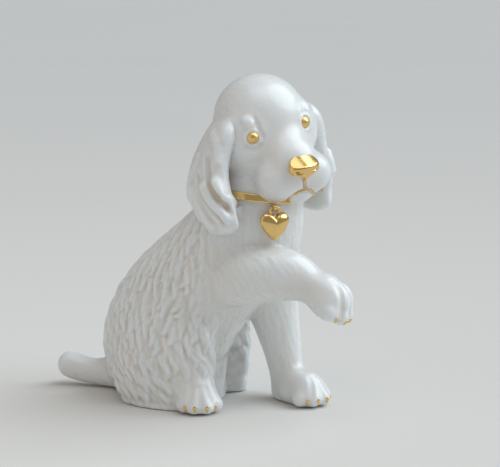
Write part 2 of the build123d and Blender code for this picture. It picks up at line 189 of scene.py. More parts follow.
def vent_plug():
    """A disc that closes the casting vent a little way in, so that the hollow stays closed."""
    bpy.ops.mesh.primitive_cylinder_add(vertices=48, radius=VENT_PLUG_RADIUS * MM, depth=VENT_PLUG_DEPTH * MM,
                                        location=(0.0, VENT_Y * MM, VENT_PLUG_Z * MM))
    bpy.ops.object.transform_apply(location=True, rotation=True, scale=True)


def clay_of(names, grain):
    """Copies of CAD nodes, joined with what is selected and skinned over as one body of clay."""
    for name in names:
        copy = bpy.data.objects.new("clay_part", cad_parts[name].data.copy())
        bpy.context.scene.collection.objects.link(copy)
        copy.select_set(True)
        bpy.context.view_layer.objects.active = copy
    bpy.ops.object.join()
    body = bpy.context.object
    bpy.ops.object.mode_set(mode="EDIT")
    bpy.ops.mesh.select_all(action="SELECT")
    bpy.ops.mesh.remove_doubles(threshold=1e-7)
    bpy.ops.object.mode_set(mode="OBJECT")
    skin = body.modifiers.new("skin", "REMESH")
    skin.mode = "VOXEL"
    skin.voxel_size = grain * MM
    skin.adaptivity = 0.0
    bpy.ops.object.modifier_apply(modifier="skin")
    return largest_skin(*taken_from(body))


def taken_from(body):
    """The points, in millimetres, and quads of a helper object, which is then removed."""
    mesh = body.data
    points = np.zeros(len(mesh.vertices) * 3)
    mesh.vertices.foreach_get("co", points)
    quads = np.zeros(len(mesh.polygons) * 4, int)
    mesh.polygons.foreach_get("vertices", quads)
    bpy.data.objects.remove(body)
    return points.reshape(-1, 3) / MM, quads.reshape(-1, 4)


def islands(count, faces):
    """A number for each point that is the same over each connected skin."""
    mark = np.arange(count)
    start, end = faces.ravel(), np.roll(faces, -1, axis=1).ravel()
    while True:
        lower = mark.copy()
        np.minimum.at(lower, start, mark[end])
        np.minimum.at(lower, end, mark[start])
        lower = lower[lower]
        if np.array_equal(lower, mark):
            return mark
        mark = lower


def largest_skin(points, quads):
    """Keeps the largest closed skin, and drops any skin of the hollow inside."""
    mark = islands(len(points), quads)
    names, counts = np.unique(mark, return_counts=True)
    keep = mark == names[np.argmax(counts)]
    renumber = np.cumsum(keep) - 1
    return Clay(points[keep], renumber[quads[keep[quads[:, 0]]]], True)


def ball_of_clay(cuts):
    """A ball of radius 1 in even quads, to model small pieces from."""
    deselect()
    bpy.ops.mesh.primitive_cube_add(size=2.0 * MM)
    bpy.ops.object.mode_set(mode="EDIT")
    bpy.ops.mesh.select_all(action="SELECT")
    bpy.ops.mesh.subdivide(number_cuts=cuts)
    bpy.ops.object.mode_set(mode="OBJECT")
    points, quads = taken_from(bpy.context.object)
    points = np.tan(points * math.pi / 4)
    return Clay(points / np.linalg.norm(points, axis=1)[:, None], quads)


def nearest_cast(clay):
    """Which cast node each point of the clay lies on."""
    graph = bpy.context.evaluated_depsgraph_get()
    best = np.full(len(clay.points), 1e9)
    owner = np.zeros(len(clay.points), int)
    margin = 2.0
    for number, name in enumerate(CAST_NODES):
        low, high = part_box(name)
        inside = np.all((clay.points > np.array(low) / MM - margin)
                        & (clay.points < np.array(high) / MM + margin), axis=1)
        tree = BVHTree.FromObject(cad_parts[name], graph)
        for k in np.nonzero(inside)[0]:
            away = tree.find_nearest(clay.points[k] * MM)[3]
            if away < best[k]:
                best[k], owner[k] = away, number
    return owner


def camera():
    """The camera at the photograph's angle."""
    lens = bpy.data.cameras.new("camera")
    lens.sensor_width = SENSOR_WIDTH_MM
    lens.lens = SENSOR_WIDTH_MM * FOCAL_PIXELS / PICTURE_WIDTH
    lens.shift_x = (PICTURE_WIDTH / 2 - AXIS_PIXEL[0]) / PICTURE_WIDTH
    lens.shift_y = (AXIS_PIXEL[1] - PICTURE_HEIGHT / 2) / PICTURE_WIDTH
    lens.clip_start, lens.clip_end = 0.01, 60.0
    eye = bpy.data.objects.new("camera", lens)
    eye.location = VIEW_EYE * MM
    eye.rotation_euler = (-VIEW_BACK).to_track_quat("-Z", "Y").to_euler()
    bpy.context.scene.collection.objects.link(eye)
    bpy.context.scene.camera = eye


def piece_from(name, points, faces, body, slot, finish):
    """A new piece from points in millimetres, riding on a body, with its finish."""
    mesh = bpy.data.meshes.new(name)
    mesh.from_pydata((np.asarray(points) * MM).tolist(), [], [list(map(int, f)) for f in faces])
    mesh.update()
    mesh.polygons.foreach_set("use_smooth", [True] * len(mesh.polygons))
    mesh.materials.append(finish)
    piece = bpy.data.objects.new(name, mesh)
    bpy.context.scene.collection.objects.link(piece)
    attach(piece, body)
    return piece


def loops_of(edges):
    """Walks directed edges into closed loops of points."""
    following = {}
    for a, b in edges:
        following.setdefault(a, []).append(b)
    loops = []
    while following:
        first = next(iter(following))
        loop, spot = [], first
        while spot in following:
            loop.append(spot)
            ways = following[spot]
            step = ways.pop()
            if not ways:
                del following[spot]
            spot = step
        loops.append(loop)
    return loops


CUT_DEPTH, HOLLOW_DEPTH, HOLLOW_ROUNDS = 0.9, 0.22, 6


def cut_pieces(clay, owner, finish):
    """Cuts the clay into one closed piece for each cast node, with the whole skin's normals across a cut."""
    normals = clay.normals()
    hollow = hollows(clay, normals)
    share = owner[clay.quads]
    label = np.sort(share, axis=1)[:, 1]
    for number, name in enumerate(CAST_NODES):
        quads = clay.quads[label == number]
        used, local = np.unique(quads, return_inverse=True)
        local = local.reshape(-1, 4)
        points, turned, deep = list(clay.points[used]), list(normals[used]), list(hollow[used])
        faces = local.tolist()
        edges = set(zip(local.ravel().tolist(), np.roll(local, -1, axis=1).ravel().tolist()))
        for loop in loops_of([(b, a) for a, b in edges if (b, a) not in edges]):
            ring = list(range(len(points), len(points) + len(loop)))
            middle = len(points) + len(loop)
            points += [points[k] - CUT_DEPTH * turned[k] for k in loop]
            points.append(np.mean([points[k] for k in ring], axis=0))
            turned += [np.zeros(3)] * (len(loop) + 1)
            deep += [0.0] * (len(loop) + 1)
            around = list(zip(loop, loop[1:] + loop[:1], ring, ring[1:] + ring[:1]))
            faces += [[a, b, d, c] for a, b, c, d in around]
            faces += [[c, d, middle] for a, b, c, d in around]
        title = "porcelain_" + name.replace("_shell", "")
        piece = piece_from(title, points, faces, "figure", "porcelain", finish)
        piece.data.normals_split_custom_set_from_vertices(np.array(turned).tolist())
        # Hollow depth for each point, which the glaze uses to paint shade into the hollows.
        hollow_shade = piece.data.attributes.new("hollow", "FLOAT", "POINT")
        hollow_shade.data.foreach_set("value", np.array(deep, np.float32))
        covered = (name, "luting_slip") if name == "torso_shell" else (name,)
        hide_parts(*covered)


def hollows(clay, normals):
    """How far each point lies below its surroundings, from -1 on ridges to 1 in grooves."""
    broad = clay.points
    for _ in range(HOLLOW_ROUNDS):
        broad = clay.around(broad)
    depth = np.einsum("ij,ij->i", broad - clay.points, normals)
    return np.clip(depth / HOLLOW_DEPTH, -1.0, 1.0)


class Wire:
    """A socket of a material, so that shader maths is written as plain expressions."""

    def __init__(self, finish, socket):
        self.finish, self.socket = finish, socket

    def work(self, operation, first, second):
        return self.finish.node("ShaderNodeMath", {"operation": operation}, {0: first, 1: second})

    def __add__(self, other):
        return self.work("ADD", self, other)

    def __radd__(self, other):
        return self.work("ADD", other, self)

    def __sub__(self, other):
        return self.work("SUBTRACT", self, other)

    def __rsub__(self, other):
        return self.work("SUBTRACT", other, self)

    def __mul__(self, other):
        return self.work("MULTIPLY", self, other)

    def __rmul__(self, other):
        return self.work("MULTIPLY", other, self)


class Finish:
    """A material made of nodes on one Principled shader."""

    def __init__(self, name, **values):
        self.material = bpy.data.materials.new(name)
        self.material.use_nodes = True
        self.tree = self.material.node_tree
        self.shader = next(n for n in self.tree.nodes if n.type == "BSDF_PRINCIPLED")
        for socket, value in values.items():
            self.shader.inputs[socket.replace("_", " ")].default_value = value

    def put(self, socket, value):
        if isinstance(value, Wire):
            self.tree.links.new(value.socket, socket)
        else:
            socket.default_value = value

    def node(self, kind, settings, inputs, output=0):
        made = self.tree.nodes.new(kind)
        for name, value in settings.items():
            setattr(made, name, value)
        for name, value in inputs.items():
            self.put(made.inputs[name], value)
        return Wire(self, made.outputs[output])

    def place(self):
        return self.node("ShaderNodeTexCoord", {}, {}, "Object")

    def noise(self, scale, detail=3.0, rough=0.5):
        return self.node("ShaderNodeTexNoise", {}, {"Vector": self.place(), "Scale": scale, "Detail": detail,
                                                    "Roughness": rough}, "Fac")

    def blend(self, share, first, second):
        return self.node("ShaderNodeMix", {"data_type": "RGBA"}, {0: share, 6: first, 7: second}, 2)

    def range(self, value, low, high, to_low, to_high):
        return self.node("ShaderNodeMapRange", {}, {"Value": value, "From Min": low, "From Max": high,
                                                    "To Min": to_low, "To Max": to_high})

    def bump(self, height, strength, distance):
        return self.node("ShaderNodeBump", {}, {"Height": height, "Strength": strength, "Distance": distance})

    def set(self, socket, value):
        self.put(self.shader.inputs[socket], value)


def porcelain_finish():
    """White porcelain under a clear glaze, cool white on the ridges, with a darker warm cream painted into
    the hollows as shade.
    """
    finish = Finish("glazed_porcelain", Coat_Weight=0.5, Coat_Roughness=0.2, Subsurface_Weight=0.15,
                    Subsurface_Scale=0.0006, IOR=1.5)
    hollow = finish.node("ShaderNodeAttribute", {"attribute_name": "hollow"}, {}, "Fac")
    cloud = finish.noise(90.0, 4.0)
    # Painted shade: the deeper a point lies in a hollow, the darker and warmer the base colour.
    hollow_shade = finish.range(hollow + (cloud - 0.5) * 0.5, -0.5, 1.0, 0.0, 1.0)
    finish.set("Base Color", finish.blend(hollow_shade, (0.82, 0.86, 0.89, 1.0), (0.64, 0.57, 0.48, 1.0)))
    finish.set("Roughness", finish.range(finish.noise(400.0), 0.3, 0.7, 0.26, 0.38))
    finish.set("Normal", finish.bump(finish.noise(1500.0, 2.0), 0.12, 0.0002))
    return finish.material


BRIGHT_ROUGHNESS, DULL_ROUGHNESS = 0.14, 0.34


def gold_finish(name, roughness):
    """Burnished gold on glaze, a little uneven where the brush left it thicker."""
    finish = Finish(name, Metallic=1.0)
    cloud = finish.noise(700.0, 4.0, 0.6)
    finish.set("Base Color", finish.blend(cloud, (0.87, 0.63, 0.27, 1.0), (0.76, 0.49, 0.17, 1.0)))
    finish.set("Roughness", finish.range(cloud, 0.3, 0.7, roughness * 0.7, roughness * 1.4))
    finish.set("Normal", finish.bump(finish.noise(500.0, 2.0), 0.03, 0.0001))
    return finish.material


FLOOR_METRES = 40.0
# Lights: name, kind, azimuth, elevation, distance in metres, size or sun angle, power and colour
LIGHTS = (
    ("key", "SUN", 30.0, 45.0, 1.0, math.radians(60.0), 2.4, (0.83, 0.93, 1.0)),
    ("fill", "AREA", -125.0, 25.0, 0.6, 0.6, 0.4, (1.0, 0.88, 0.74)),
    ("top", "AREA", -60.0, 75.0, 0.6, 0.4, 0.6, (0.96, 0.98, 1.0)),
)


def stage_and_light():
    """A pale floor and soft studio light: cool from the upper right, a warm weaker fill from the left."""
    deselect()
    bpy.ops.mesh.primitive_plane_add(size=FLOOR_METRES)
    floor = bpy.context.object
    floor.name = "floor"
    paint = Finish("floor_paint", Roughness=0.7)
    paint.set("Base Color", paint.blend(paint.noise(3.0), (0.72, 0.70, 0.67, 1.0), (0.69, 0.67, 0.64, 1.0)))
    floor.data.materials.append(paint.material)
    for name, kind, azimuth, elevation, away, size, power, colour in LIGHTS:
        lamp = bpy.data.lights.new(name, kind)
        lamp.energy, lamp.color = power, colour
        if kind == "SUN":
            lamp.angle = size
        else:
            lamp.size = size
        a, e = math.radians(azimuth), math.radians(elevation)
        back = Vector((math.sin(a) * math.cos(e), -math.cos(a) * math.cos(e), math.sin(e)))
        light = bpy.data.objects.new(name, lamp)
        light.location = VIEW_TARGET * MM + back * away
        light.rotation_euler = (-back).to_track_quat("-Z", "Y").to_euler()
        bpy.context.scene.collection.objects.link(light)
    world = bpy.data.worlds.new("studio")
    world.use_nodes = True
    sky = next(n for n in world.node_tree.nodes if n.type == "BACKGROUND")
    sky.inputs["Color"].default_value = (0.90, 0.89, 0.88, 1.0)
    sky.inputs["Strength"].default_value = 0.35
    bpy.context.scene.world = world
    bpy.context.scene.view_settings.view_transform = "Standard"


def seen(skin, *pixels):
    """The points of the skin that the photograph shows at these pixels."""
    found = []
    for x, y in pixels:
        aim = (-VIEW_BACK + VIEW_RIGHT * ((x - AXIS_PIXEL[0]) / FOCAL_PIXELS)
               - VIEW_UP * ((y - AXIS_PIXEL[1]) / FOCAL_PIXELS))
        hit = skin.ray_cast(VIEW_EYE, aim)[0]
        if hit is not None:
            found.append(np.array(hit))
    return np.array(found)


def curve_through(points, count=24):
    """A smooth curve of count points through a few points."""
    points = np.asarray(points, float)
    ends = np.vstack((2 * points[0] - points[1], points, 2 * points[-1] - points[-2]))
    made = []
    for t in np.linspace(0.0, len(points) - 1.0001, count):
        k = int(t)
        u = t - k
        a, b, c, d = ends[k:k + 4]
        made.append(0.5 * (2 * b + (c - a) * u + (2 * a - 5 * b + 4 * c - d) * u ** 2
                           + (3 * b - a - 3 * c + d) * u ** 3))
    return np.array(made)


def onto(skin, points):
    """Points moved to the nearest places on the skin."""
    return np.array([np.array(skin.find_nearest(Vector(p))[0]) for p in points])


def proud(skin, points, height):
    """Points moved to a height above the nearest places on the skin."""
    near = [skin.find_nearest(Vector(p)) for p in points]
    return np.array([np.array(spot) + height * np.array(normal) for spot, normal, _, _ in near])


def other_side(points):
    """Points of the face's one side, mirrored to its other side."""
    there = moved(FACE_INVERSE, points)
    there[:, 0] *= -1.0
    return moved(FACE, there)


def lay_locks(clay, cover, flow, lock, seed):
    """Lays overlapping locks of hair along a flow: each has a wave, and is soft at its root and tip."""
    length, half_width, height, wave = lock
    draw = np.random.default_rng(seed)
    normals = clay.normals()
    flow = flow - normals * np.einsum("ij,ij->i", flow, normals)[:, None]
    flow /= np.maximum(np.linalg.norm(flow, axis=1), 1e-9)[:, None]
    side = np.cross(normals, flow)
    wanted = np.nonzero(cover > 0.05)[0]
    draw.shuffle(wanted)
    wanted = wanted[:LOCK_TRIES]
    cell = 0.6 * length
    taken, chosen = {}, []
    for k in wanted:
        spot = clay.points[k]
        home = np.floor(spot / cell).astype(int)
        close = [j for x in (-1, 0, 1) for y in (-1, 0, 1) for z in (-1, 0, 1)
                 for j in taken.get((home[0] + x, home[1] + y, home[2] + z), ())]
        if close:
            away = clay.points[close] - spot
            crowd = (away @ flow[k] / (0.55 * length)) ** 2 + (away @ side[k] / (1.5 * half_width)) ** 2
            if crowd.min() < 1.0:
                continue
        taken.setdefault(tuple(home), []).append(k)
        chosen.append(k)
    cells = Cells(clay.points, 1.5)
    lift = np.zeros(len(clay.points))
    for k in chosen:
        size, phase = draw.uniform(0.75, 1.3), draw.uniform(-0.9, 0.9)
        near = cells.near(clay.points[k], 0.62 * length * size)
        away = clay.points[near] - clay.points[k]
        s = away @ flow[k] / (0.5 * length * size)
        v = away @ side[k] - wave * np.sin(2.4 * s + phase)
        width = half_width * size * np.sqrt(np.clip(1.0 - s * s, 0.0, 1.0)) * (1.05 - 0.35 * s)
        u = v / np.maximum(width, 1e-3)
        same = (np.abs(s) < 1.0) & (np.abs(u) < 1.0) & (normals[near] @ normals[k] > 0.2)
        arch = np.clip(1.0 - s * s, 0.0, 1.0) ** 0.7 * (0.8 + 0.2 * s)
        high = height * size * cover[k] * arch * np.clip(1.0 - u * u, 0, 1)
        lift[near[same]] = np.maximum(lift[near[same]], high[same])
    clay.raise_by(lift - 0.45 * height * np.minimum(cover, 1.0))


def ear_frame(side, swing_out, swing_forward):
    """An ear's own frame in the head: -Z down the ear, +Y to its back edge."""
    head = FACE @ Matrix.Rotation(math.radians(-13.0), 4, "X")
    set_on = Matrix.Translation((side * 12.2, 0.0, 2.4))
    swing = (Matrix.Rotation(math.radians(-swing_forward), 4, "X")
             @ Matrix.Rotation(math.radians(-side * swing_out), 4, "Y"))
    return head @ set_on @ swing @ set_on.inverted()


RIGHT_EAR, LEFT_EAR = ear_frame(-1, 9.0, 10.0), ear_frame(1, 1.0, 1.0)
EAR_REACH, EAR_HALF_WIDTH, EAR_WIDEST, EAR_END_LIFT = 10.0, 7.6, 17.0, 3.4
# An ear's tip, middle and half width, then how far it is narrowed above, flared below and tucked in
RIGHT_EAR_SHAPE = (28.4, 0.0, EAR_HALF_WIDTH, 2.4, 2.0, 0.0)
LEFT_EAR_SHAPE = (29.4, 2.0, 10.0, 2.6, -1.6, 0.9)


def other_ear(skin, points):
    """Points of the right ear, mirrored to the outer side of the left ear."""
    there = moved(RIGHT_EAR.inverted(), points)
    there[:, 0] *= -1.0
    out = LEFT_EAR.to_3x3() @ Vector((1.0, 0.0, 0.0))
    found = []
    for spot in moved(LEFT_EAR, there):
        hit = skin.ray_cast(Vector(spot) + EAR_REACH * out, -out)[0]
        if hit is not None and (hit - Vector(spot)).length < EAR_REACH / 2:
            found.append(np.array(hit))
    return np.array(found)


def round_ear(clay, mine, place, tip, middle, half_width, narrowing, flare, tuck):
    """Rounds the lower end of an ear, narrows it above and flares its lower front corner."""
    there = moved(place.inverted(), clay.points)
    down = -there[:, 2]
    low = mine * smoothstep(16.0, tip, down)
    across = np.clip(np.abs(there[:, 1] - middle) / half_width, 0.0, 1.4)
    there[:, 2] += low * (EAR_END_LIFT * across ** 3) * np.where(there[:, 1] < middle, 0.8, 1.0)
    front = mine * np.clip(-there[:, 1] / EAR_HALF_WIDTH, 0.0, 1.0)
    narrow = smoothstep(0.0, 6.0, down) * (1.0 - smoothstep(12.0, 20.0, down))
    there[:, 1] += front * (narrowing * narrow - flare * smoothstep(15.0, 24.0, down))
    corner = np.exp(-((down - EAR_WIDEST) / 4.5) ** 2) * smoothstep(6.0, 14.0, there[:, 1])
    there[:, 1] -= mine * corner * (middle > 0)
    there[:, 0] -= mine * tuck * smoothstep(3.0, 13.0, down)
    clay.points = np.where(mine[:, None] > 0, moved(place, there), clay.points)


def bump_at(points, place, reach):
    """A share that is 1 at a place and falls softly to 0 over a reach along each axis."""
    return np.exp(-(((points - place) / reach) ** 2).sum(axis=1))


# Rounds of smoothing: everywhere, on the forms, and on the soft spots
EVEN_ROUNDS, FORM_ROUNDS, SPOT_ROUNDS = 12, 90, 200
# Where forms run into each other most softly, with the reach along each axis
SOFT_SPOTS = {
    "wrist": ((-8.0, -41.5, 37.5), (9.0, 4.0, 9.0)),
    "ankle": ((10.5, -31.0, 8.5), (7.0, 6.0, 4.0)),
    "instep": ((-15.0, -10.0, 8.0), (9.0, 7.0, 4.5)),
    "tail_root": ((0.0, 25.0, 8.0), (9.0, 6.0, 9.0)),
    "heel": ((10.5, -22.5, 1.5), (7.0, 4.0, 4.0)),
}


def shape_forms(clay, owner):
    """Blends the cast forms into each other, and rounds the ears' ends."""
    name = {n: k for k, n in enumerate(CAST_NODES)}
    y, z = clay.points[:, 1], clay.points[:, 2]
    ears = np.isin(owner, (name["right_ear"], name["left_ear"])).astype(float)
    feet = np.isin(owner, [name[n] for n in CAST_NODES if n.endswith("_leg")])
    toes = feet * np.maximum(1.0 - smoothstep(2.5, 6.0, z), 1.0 - smoothstep(-50.0, -46.5, y))
    for ear, place, shape in (("right_ear", RIGHT_EAR, RIGHT_EAR_SHAPE),
                              ("left_ear", LEFT_EAR, LEFT_EAR_SHAPE)):
        round_ear(clay, (owner == name[ear]).astype(float), place, *shape)
    clay.soften(np.full(len(clay.points), 0.5), EVEN_ROUNDS)
    clay.soften(0.5 * (1.0 - np.maximum(0.9 * toes, 0.4 * ears)), FORM_ROUNDS)
    soft = sum(bump_at(clay.points, place, reach) for place, reach in SOFT_SPOTS.values())
    clay.soften(0.5 * np.clip(soft, 0.0, 1.0), SPOT_ROUNDS)


# Strokes on the skin, each through a few pixels of the photograph's frame
RIGHT_EAR_STRANDS = (
    (((212, 172), (216, 185), (225, 198), (236, 209), (239, 221)), 2.3, 1.25),
    (((202, 178), (205, 192), (214, 206), (224, 215), (229, 227)), 2.4, 1.25),
    (((191, 182), (195, 195), (202, 210), (209, 222), (218, 232)), 2.2, 1.05),
    (((203, 136), (199, 150), (196, 163), (191, 176)), 1.9, 0.5),
)
RIGHT_EAR_GROOVES = (
    (((207, 150), (207, 165), (209, 180), (215, 194), (226, 206), (233, 219)), 1.5, -1.2),
    (((197, 168), (198, 183), (204, 197), (212, 209), (221, 220), (225, 230)), 1.5, -1.1),
    (((221, 186), (229, 197), (237, 212)), 0.9, -0.35),
    (((210, 196), (219, 208), (227, 219)), 0.9, -0.3),
    (((197, 197), (205, 211), (213, 223)), 0.9, -0.3),
)
RIGHT_EAR_ROLL = (((211, 130), (215, 142), (217, 155), (217, 168)), 2.2, 0.6)
CLAW_NODES = ("left_fore_claws", "right_fore_claws", "right_hind_claws", "left_hind_claws")
TOE_GROOVE_DEPTHS = (-0.25, -0.4, -0.22, -0.22)
TOE_GROOVE_HALF_WIDTH, KNUCKLE_BACK, KNUCKLE_UP = 1.4, 7.0, 5.0
RAISED_PAD = ((318, 310), 6.0, 0.8)
TUFT_GROOVES = (((247, 347), (239, 347), (230, 353)), ((250, 359), (241, 359), (230, 366)),
                ((249, 374), (240, 374), (229, 378)))
TUFTS = (((236, 341), 2.4, 1.2), ((243, 352), 2.4, 1.3), ((245, 366), 2.6, 1.3), ((241, 381), 2.4, 1.1),
         ((229, 347), 2.6, 0.9), ((233, 359), 2.6, 0.8), ((234, 372), 2.6, 0.8), ((228, 384), 2.8, 0.9),
         ((222, 352), 3.2, 1.6), ((224, 366), 3.2, 1.6), ((221, 378), 3.2, 1.8), ((219, 390), 3.2, 1.6))
TUFT_SPREAD, TUFT_SHARE = 1.2, 0.55
TUFT_GROOVE_HALF_WIDTH, TUFT_GROOVE_DEPTH = 1.6, 0.2
HAIR_STROKES = (
    ((190, 230), (178, 242)), ((172, 246), (161, 258)), ((156, 262), (145, 276)), ((141, 279), (129, 295)),
    ((124, 296), (116, 313)), ((115, 317), (111, 336)), ((111, 341), (111, 362)), ((113, 366), (117, 384)),
    ((207, 240), (199, 258)), ((186, 256), (174, 273)), ((166, 276), (153, 293)), ((146, 296), (136, 314)),
    ((131, 316), (125, 336)), ((125, 341), (123, 361)), ((124, 365), (128, 386)), ((216, 256), (210, 280)),
    ((196, 271), (186, 290)), ((178, 290), (166, 306)), ((194, 304), (174, 316)), ((186, 318), (166, 329)),
    ((164, 326), (152, 346)), ((150, 331), (143, 353)), ((144, 359), (141, 381)), ((160, 351), (157, 373)),
    ((181, 331), (174, 350)), ((177, 356), (180, 378)), ((141, 382), (147, 398)), ((161, 378), (170, 396)),
    ((197, 350), (200, 372)), ((203, 326), (203, 346)),
)
BROW = ((241, 123), (247, 121), (254, 126))
BROW_FURROW = ((251, 115), (257, 124), (261, 134), (265, 141))
EYE_TROUGH = ((263, 141), (257, 147), (249, 148), (242, 143))
CHEEK_FOLD = ((268, 150), (273, 165), (268, 180))
UPPER_LIP = ((306, 190), (298, 193), (291, 197), (287, 203))
LEFT_LIP = ((306, 190), (312, 192), (319, 191))
PHILTRUM = ((304, 178), (305, 184), (306, 190))
LIP_GROOVE_HALF_WIDTH, LIP_GROOVE_DEPTH = 0.9, 0.45

# Hair: length, half width, height and wave of each kind of lock, and the plane of the collar above it
BACK_LOCK, FINE_LOCK = (7.0, 1.5, 0.85, 1.0), (5.0, 0.75, 0.32, 0.5)
BODY_HAIR, HEAD_HAIR = (6.0, 0.9, 0.13, 0.6), (5.0, 0.6, 0.08, 0.2)
LOCK_TRIES, LOCK_FADE = 26000, 60
COLLAR_HEIGHT, COLLAR_SLOPE, NECK_Y = 60.8, 0.23, -21.0

# Soft forms of the face, as a place in the face's frame, a reach and a height
TEMPLE, TEMPLE_REACH, TEMPLE_HEIGHT = (10.5, -7.5, -0.5), 8.5, 2.4
CHIN, CHIN_REACH, CHIN_HEIGHT = (2.2, -16.4, -17.4), 6.0, 1.8
FAR_FLEW, FAR_FLEW_REACH, FAR_FLEW_HEIGHT = (7.0, -18.0, -11.0), 7.0, 1.3


def broaden_face(clay):
    """Fuller temples beside the eyes, fuller cheeks towards the muzzle, and the chin."""
    for side in (-1, 1):
        temple = np.array(FACE @ Vector((side * TEMPLE[0], TEMPLE[1], TEMPLE[2])))
        clay.swell(temple, TEMPLE_REACH, TEMPLE_HEIGHT)
        clay.soften(0.5 * bump_at(clay.points, temple, np.full(3, TEMPLE_REACH)), 60)
    clay.swell(np.array(FACE @ Vector(CHIN)), CHIN_REACH, CHIN_HEIGHT)
    clay.swell(np.array(FACE @ Vector(FAR_FLEW)), FAR_FLEW_REACH, FAR_FLEW_HEIGHT)


def sculpt_face(clay):
    """Brows, furrows, troughs under the eyes, cheeks and lips."""
    skin = clay.skin()
    lines = ((BROW, 2.2, 0.5), (BROW_FURROW, 1.3, -0.4), (EYE_TROUGH, 1.8, -0.3), (CHEEK_FOLD, 2.4, -0.2))
    for pixels, half_width, height in lines:
        path = curve_through(seen(skin, *pixels))
        clay.line(path, half_width, height)
        clay.line(onto(skin, other_side(path)), half_width, 0.5 * height)
    mouth = [curve_through(seen(skin, *pixels)) for pixels in (UPPER_LIP, LEFT_LIP, PHILTRUM)]
    for path in mouth:
        clay.line(path, LIP_GROOVE_HALF_WIDTH, -LIP_GROOVE_DEPTH, 0.1)
    near_end, far_end = mouth[1][-1], other_side(mouth[0][-1:])[0]
    far = onto(skin, np.linspace(near_end, far_end, 12))
    clay.line(far, LIP_GROOVE_HALF_WIDTH, -LIP_GROOVE_DEPTH, 0.1)
    return mouth, far


def sculpt_ears(clay):
    """The smooth rolled front edge of the ears and the long waved locks below it."""
    skin = clay.skin()
    for pixels, half_width, height in (RIGHT_EAR_ROLL,) + RIGHT_EAR_STRANDS + RIGHT_EAR_GROOVES:
        path = curve_through(seen(skin, *pixels))
        clay.line(path, half_width, height, 0.15)
        mirrored = other_ear(skin, path)
        if len(mirrored) > 3:
            clay.line(curve_through(mirrored[::3]), half_width, 0.7 * height, 0.2)


def combed(skin, points, strokes):
    """The way the hair runs at each point, blended from a few strokes and their mirror images."""
    mirror = np.array((-1.0, 1.0, 1.0))
    flow = np.zeros(points.shape)
    for start, end in strokes:
        first, last = seen(skin, start, end)
        for side in (1.0, mirror):
            spot, way = (first + last) / 2 * side, (last - first) * side
            near = ((points - spot) ** 2).sum(axis=1)
            flow += way / np.linalg.norm(way) / ((near + 4.0) ** 2)[:, None]
    return flow


def claw_middles(node):
    """The middles of a paw's CAD claws, in order across the paw."""
    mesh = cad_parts[node].data
    points = np.array([v.co for v in mesh.vertices]) / MM
    places, same = np.unique(np.round(points, 4), axis=0, return_inverse=True)
    faces = same.ravel()[np.array([list(p.vertices) for p in mesh.polygons])]
    mark = islands(len(places), faces)
    middles = np.array([places[mark == number].mean(axis=0) for number in np.unique(mark)])
    across = middles - middles.mean(axis=0)
    return middles[np.argsort(across @ across[np.argmax((across ** 2).sum(axis=1))])]


def sculpt_feet(clay):
    """Fuller pads, grooves between the toes, and the tufts in front of the far hind leg."""
    pixel, reach, height = RAISED_PAD
    clay.swell(seen(clay.skin(), pixel)[0], reach, height)
    skin = clay.skin()
    for node, depth in zip(CLAW_NODES, TOE_GROOVE_DEPTHS):
        middles = claw_middles(node)
        back = -np.array(skin.find_nearest(Vector(middles.mean(axis=0)))[1])
        knuckle = middles.mean(axis=0) + KNUCKLE_BACK * back + np.array((0.0, 0.0, KNUCKLE_UP))
        for first, second in zip(middles[:-1], middles[1:]):
            path = np.linspace((first + second) / 2, knuckle, 10)[:8]
            clay.line(onto(skin, path), TOE_GROOVE_HALF_WIDTH, depth, 0.2)
    for pixels in TUFT_GROOVES:
        clay.line(curve_through(seen(skin, *pixels)), TUFT_GROOVE_HALF_WIDTH, -TUFT_GROOVE_DEPTH, 0.1)
    for pixel, reach, height in TUFTS:
        clay.swell(seen(skin, pixel)[0], TUFT_SPREAD * reach, TUFT_SHARE * height)


def comb_coat(clay, owner):
    """Wavy locks on the back and haunches, finer hair on the chest, legs and head."""
    name = {n: k for k, n in enumerate(CAST_NODES)}
    y, z = clay.points[:, 1], clay.points[:, 2]
    torso, head = owner == name["torso_shell"], owner == name["head_shell"]
    hind = np.isin(owner, (name["right_hind_leg"], name["left_hind_leg"]))
    fore = np.isin(owner, (name["right_fore_leg"], name["left_fore_leg"]))
    raised = owner == name["right_fore_leg"]
    below_collar = smoothstep(2.5, 9.0, COLLAR_HEIGHT - z - COLLAR_SLOPE * (y - NECK_Y))
    back = smoothstep(-15.0, -8.0, y + 0.25 * (z - 40.0))
    off_ground = smoothstep(0.5, 2.2, z)
    paws = (1.0 - smoothstep(9.0, 15.0, z)) * (1.0 - smoothstep(-8.0, -2.0, y))
    flow = combed(clay.skin(), clay.points, HAIR_STROKES)
    locks = clay.spread(torso * back * below_collar + hind * (1.0 - paws), LOCK_FADE) * off_ground
    lay_locks(clay, locks, flow, BACK_LOCK, 7)
    lay_locks(clay, 0.9 * locks, flow, FINE_LOCK, 5)
    flow[fore] = (0.0, 0.1, -1.0)
    flow[raised] = (0.05, -0.35, -1.0)
    reach = smoothstep(-44.0, -34.0, y) * raised + smoothstep(8.0, 13.0, z) * (fore & ~raised) + torso * 1.0
    hair = np.clip(reach * below_collar * (1.0 - locks), 0, 1) * (torso | fore)
    lay_locks(clay, hair * off_ground, flow, BODY_HAIR, 11)
    nose = moved(FACE, np.array([[0.0, -21.0, -6.0]]))[0]
    flow[head] = clay.points[head] - nose
    there = moved(FACE_INVERSE, clay.points)
    brow = head * smoothstep(-12.0, -6.0, there[:, 1] - 0.6 * there[:, 2])
    brow = brow * smoothstep(-14.0, -8.0, there[:, 2])
    lay_locks(clay, brow, flow, HEAD_HAIR, 13)


